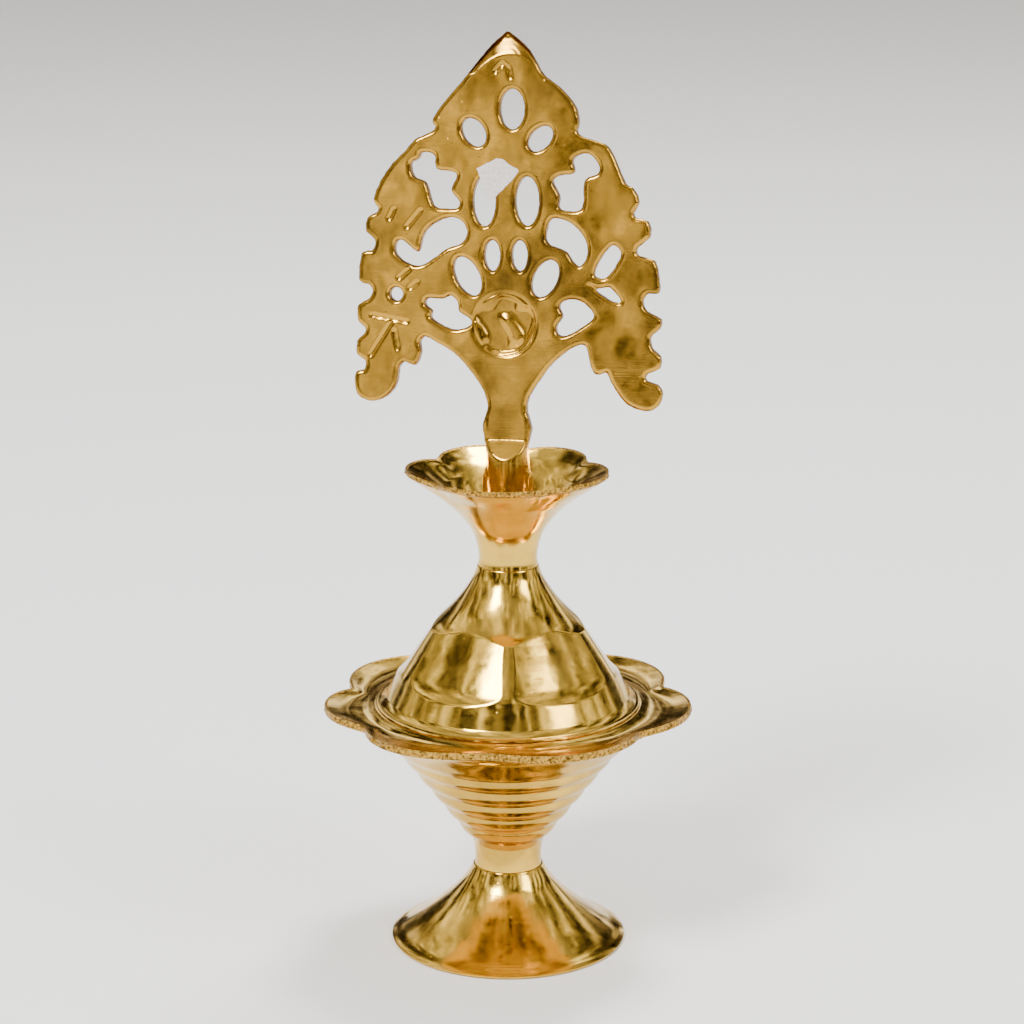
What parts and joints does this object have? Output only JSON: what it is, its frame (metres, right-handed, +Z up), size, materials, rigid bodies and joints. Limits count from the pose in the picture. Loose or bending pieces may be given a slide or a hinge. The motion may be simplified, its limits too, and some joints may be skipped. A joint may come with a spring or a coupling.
{
  "type": "standing oil lamp",
  "caption": "Small standing brass oil lamp: flared foot, ribbed petal bowl, bell-shaped lift-off dome, petalled oil cup and a pierced cast plaque on top.",
  "frame": {"origin": "centre of the plane that the foot rests on", "axes": "+Z up the lamp's axis, -Y towards the front, which is the plaque's plain face, +X to the right seen from the front"},
  "size_m": [0.0753, 0.0746, 0.1847],
  "materials": {
    "turned_brass": "cast, turned and polished",
    "cast_brass": "sand cast, face ground and buffed, sides left rougher",
    "paper": "matt white paper, torn",
    "zinc_steel": "zinc plated",
    "nut_brass": "machined, unpolished"
  },
  "bodies": {
    "base": {"foot": "turned_brass", "petal_bowl": "turned_brass", "foot_stud": "zinc_steel", "foot_washer": "zinc_steel", "foot_nut": "nut_brass"},
    "dome": {"bell_dome": "turned_brass", "cup_stud": "zinc_steel", "neck_washer": "zinc_steel", "neck_nut": "nut_brass"},
    "cup": {"oil_cup": "turned_brass"},
    "finial": {"finial_plaque": "cast_brass", "paper_label": "paper"}
  },
  "joints": [
    {"name": "dome_lift", "type": "slide", "parent": "base", "child": "dome", "axis": [0, 0, 1], "range_m": [0, 0.04]},
    {"name": "cup_turn", "type": "hinge", "parent": "dome", "child": "cup", "pos_m": [0, 0, 0.0797], "axis": [0, 0, 1], "range_deg": [-180, 180]},
    {"name": "finial_lift", "type": "slide", "parent": "cup", "child": "finial", "axis": [0, 0, 1], "range_m": [0, 0.03]}
  ]
}
